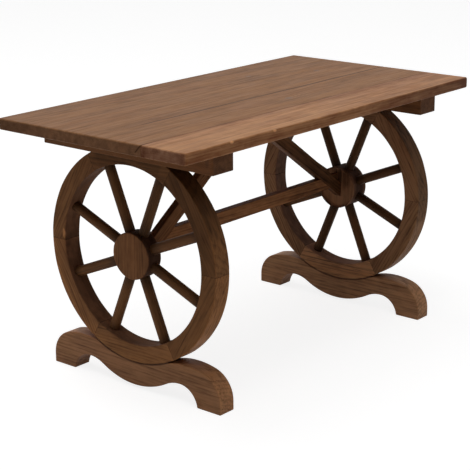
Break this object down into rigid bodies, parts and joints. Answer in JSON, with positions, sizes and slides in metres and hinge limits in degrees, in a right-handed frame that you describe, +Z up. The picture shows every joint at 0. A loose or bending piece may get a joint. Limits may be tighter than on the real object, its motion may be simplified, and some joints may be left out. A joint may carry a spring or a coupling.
{
  "type": "wagon wheel table",
  "caption": "Low rustic table: a boarded top on battens over two upright spoked wheels, each standing in a scrolled foot, tied by a stretcher between the hubs and two sloping braces.",
  "frame": {"origin": "on the floor, under the middle of the top", "axes": "+X along the top's length, +Y towards the back, +Z up"},
  "size_m": [1.067, 0.554, 0.606],
  "materials": {
    "top_wood": "stained fir, dull wax",
    "rim_wood": "stained fir, dull wax",
    "spoke_wood": "stained dowel, dull wax",
    "hub_wood": "stained fir, dull wax",
    "foot_wood": "stained fir, dull wax",
    "batten_wood": "stained fir, dull wax",
    "bar_wood": "stained fir, dull wax",
    "tongue_wood": "bare beech",
    "screw_steel": "dull"
  },
  "bodies": {
    "root": {"board_tongues": "tongue_wood", "centre_batten": "batten_wood", "left_batten": "batten_wood", "left_brace": "bar_wood", "left_felloe_back_lower": "rim_wood", "left_felloe_back_upper": "rim_wood", "left_felloe_bottom": "rim_wood", "left_felloe_front_lower": "rim_wood", "left_felloe_front_upper": "rim_wood", "left_felloe_tongues": "tongue_wood", "left_felloe_top": "rim_wood", "left_foot": "foot_wood", "left_hub": "hub_wood", "left_spoke_1": "spoke_wood", "left_spoke_2": "spoke_wood", "left_spoke_3": "spoke_wood", "left_spoke_4": "spoke_wood", "left_spoke_5": "spoke_wood", "left_spoke_6": "spoke_wood", "left_spoke_7": "spoke_wood", "left_spoke_8": "spoke_wood", "right_batten": "batten_wood", "right_brace": "bar_wood", "right_felloe_back_lower": "rim_wood", "right_felloe_back_upper": "rim_wood", "right_felloe_bottom": "rim_wood", "right_felloe_front_lower": "rim_wood", "right_felloe_front_upper": "rim_wood", "right_felloe_tongues": "tongue_wood", "right_felloe_top": "rim_wood", "right_foot": "foot_wood", "right_hub": "hub_wood", "right_spoke_1": "spoke_wood", "right_spoke_2": "spoke_wood", "right_spoke_3": "spoke_wood", "right_spoke_4": "spoke_wood", "right_spoke_5": "spoke_wood", "right_spoke_6": "spoke_wood", "right_spoke_7": "spoke_wood", "right_spoke_8": "spoke_wood", "stretcher": "bar_wood", "top_board_back": "top_wood", "top_board_front": "top_wood", "top_board_mid_back": "top_wood", "top_board_mid_front": "top_wood"}
  },
  "joints": []
}
